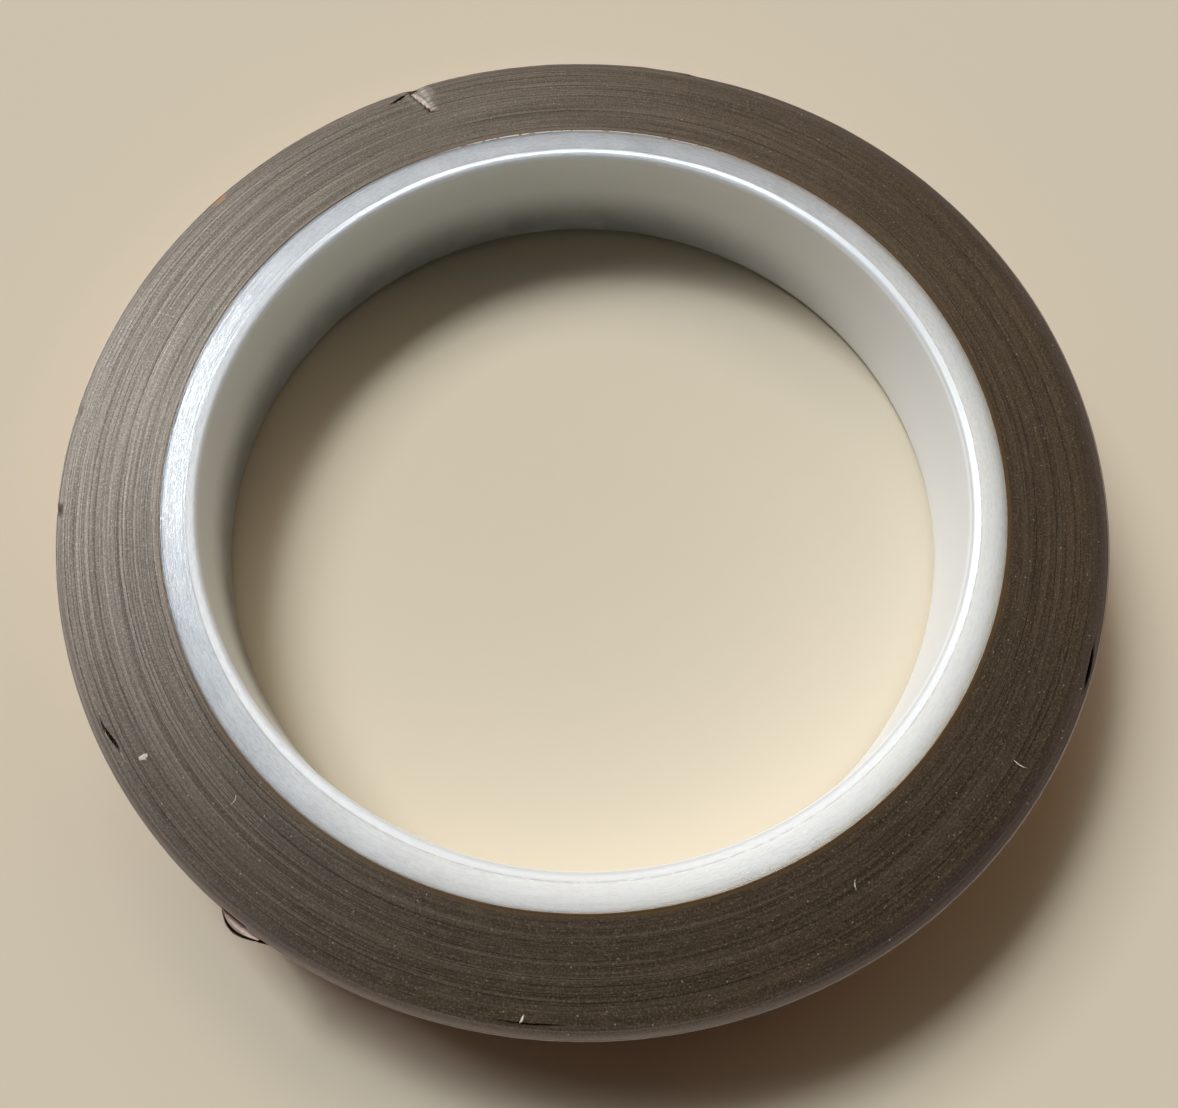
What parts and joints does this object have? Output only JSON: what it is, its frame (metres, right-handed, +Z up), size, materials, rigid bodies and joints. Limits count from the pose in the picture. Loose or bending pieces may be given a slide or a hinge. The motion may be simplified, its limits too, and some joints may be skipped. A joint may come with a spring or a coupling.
{
  "type": "foil tape roll",
  "caption": "Flat roll of narrow adhesive copper foil tape with a paper liner, wound on a round translucent plastic core, its outer end lifted.",
  "frame": {"origin": "where the roll's axis meets its bottom face, with the roll lying flat", "axes": "+Z up along the roll's axis; the lifted end is on the -X, -Y side and the tape winds outward with increasing angle about +Z"},
  "size_m": [0.1026, 0.1026, 0.015],
  "materials": {
    "core_plastic": "translucent natural plastic, satin, with fine turned marks on the ends",
    "tape_edge": "slit edges of stacked copper, adhesive and paper: dull brown with fine rings",
    "copper_foil": "rolled copper foil, bright with light tarnish",
    "adhesive": "amber pressure-sensitive adhesive, glossy",
    "paper_liner": "thin release paper, silicone coated on the adhesive side"
  },
  "bodies": {
    "roll": {"core": "core_plastic", "start_adhesive": "adhesive", "wound_turns": "tape_edge"},
    "outer_turn": {"outer_turn_foil": "copper_foil", "outer_turn_adhesive": "adhesive", "outer_turn_liner": "paper_liner"},
    "tail_backing": {"tail_liner": "paper_liner"},
    "tail_tape": {"tail_foil": "copper_foil", "tail_adhesive": "adhesive"}
  },
  "joints": [
    {"name": "unwind", "type": "hinge", "parent": "roll", "child": "outer_turn", "pos_m": [0, 0, 0], "axis": [0, 0, -1], "continuous": true},
    {"name": "tail_lift", "type": "hinge", "parent": "outer_turn", "child": "tail_backing", "pos_m": [-0.02975, -0.04186, 0], "axis": [0, 0, -1], "range_deg": [0, 90]},
    {"name": "liner_peel", "type": "hinge", "parent": "tail_backing", "child": "tail_tape", "pos_m": [-0.02975, -0.04186, 0], "axis": [0, 0, -1], "range_deg": [0, 40]}
  ]
}
